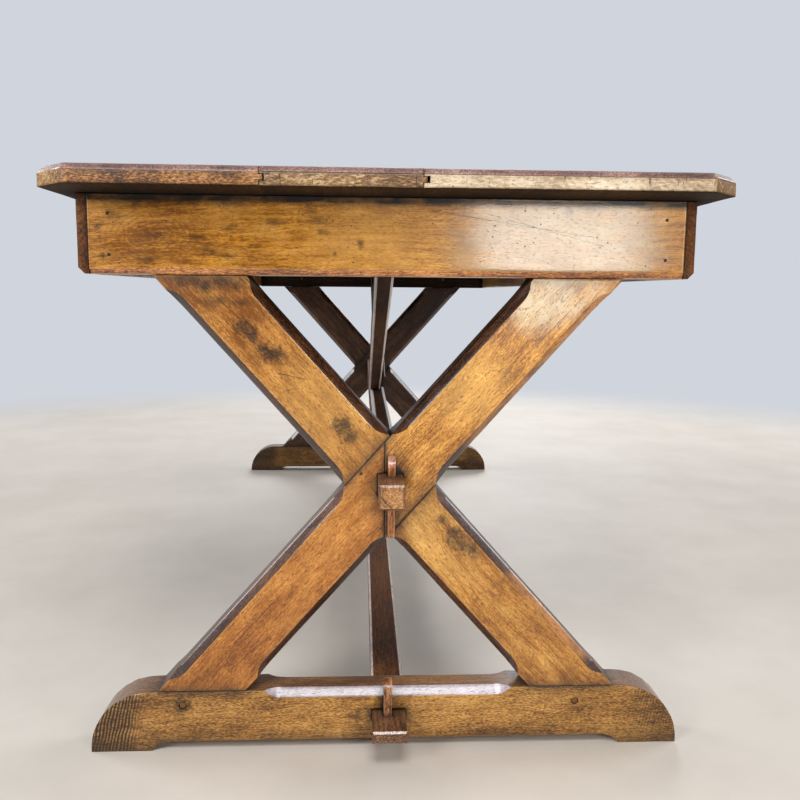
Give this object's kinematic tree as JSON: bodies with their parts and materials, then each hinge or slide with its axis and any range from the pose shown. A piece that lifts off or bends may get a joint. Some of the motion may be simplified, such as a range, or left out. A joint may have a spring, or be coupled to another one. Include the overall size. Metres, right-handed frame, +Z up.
{
  "type": "sawbuck table",
  "caption": "Long boarded table on X-shaped trestles with sledge feet, tied by stretchers whose tusk tenons are held by lift-out wedges.",
  "frame": {"origin": "on the floor under the middle of the table", "axes": "+Z up, +Y along the table's length, +X across it; the front trestle is at -Y"},
  "size_m": [0.838, 1.981, 0.76],
  "materials": {
    "top_wood": "worn wax over old varnish",
    "apron_wood": "waxed",
    "inner_wood": "raw, darkened by age",
    "leg_wood": "waxed",
    "red_leg_wood": "waxed",
    "foot_wood": "worn wax",
    "stretcher_wood": "worn wax",
    "wedge_wood": "handled, smooth",
    "peg_wood": "end grain, waxed",
    "old_iron": "rusted dark"
  },
  "bodies": {
    "table": {"top_board_left": "top_wood", "top_board_middle": "top_wood", "top_board_right": "top_wood", "side_apron_left": "apron_wood", "side_apron_right": "apron_wood", "end_apron_front": "apron_wood", "end_apron_back": "apron_wood", "top_batten": "inner_wood", "glue_blocks_left": "inner_wood", "glue_blocks_right": "inner_wood", "trestle_rail_front": "inner_wood", "trestle_rail_back": "inner_wood", "leg_through_front": "leg_wood", "leg_upper_front": "leg_wood", "leg_through_back": "leg_wood", "leg_upper_back": "leg_wood", "leg_lower_front": "red_leg_wood", "leg_lower_back": "red_leg_wood", "foot_front": "foot_wood", "foot_back": "foot_wood", "mid_stretcher": "stretcher_wood", "low_stretcher": "stretcher_wood", "strut_front": "stretcher_wood", "strut_back": "stretcher_wood", "foot_pegs_front": "peg_wood", "foot_pegs_back": "peg_wood", "rail_pegs_front": "peg_wood", "rail_pegs_back": "peg_wood", "strut_pegs": "peg_wood", "apron_nails_front": "old_iron", "apron_nails_back": "old_iron", "lap_nails_front": "old_iron", "lap_nails_back": "old_iron"},
    "low_wedge_back": {"low_wedge_back": "wedge_wood"},
    "low_wedge_front": {"low_wedge_front": "wedge_wood"},
    "mid_wedge_back": {"mid_wedge_back": "wedge_wood"},
    "mid_wedge_front": {"mid_wedge_front": "wedge_wood"}
  },
  "joints": [
    {"name": "mid_wedge_lift_front", "type": "slide", "parent": "table", "child": "mid_wedge_front", "axis": [0, 0, 1], "range_m": [0, 0.085]},
    {"name": "low_wedge_lift_front", "type": "slide", "parent": "table", "child": "low_wedge_front", "axis": [0, 0, 1], "range_m": [0, 0.033]},
    {"name": "mid_wedge_lift_back", "type": "slide", "parent": "table", "child": "mid_wedge_back", "axis": [0, 0, 1], "range_m": [0, 0.085]},
    {"name": "low_wedge_lift_back", "type": "slide", "parent": "table", "child": "low_wedge_back", "axis": [0, 0, 1], "range_m": [0, 0.033]}
  ]
}
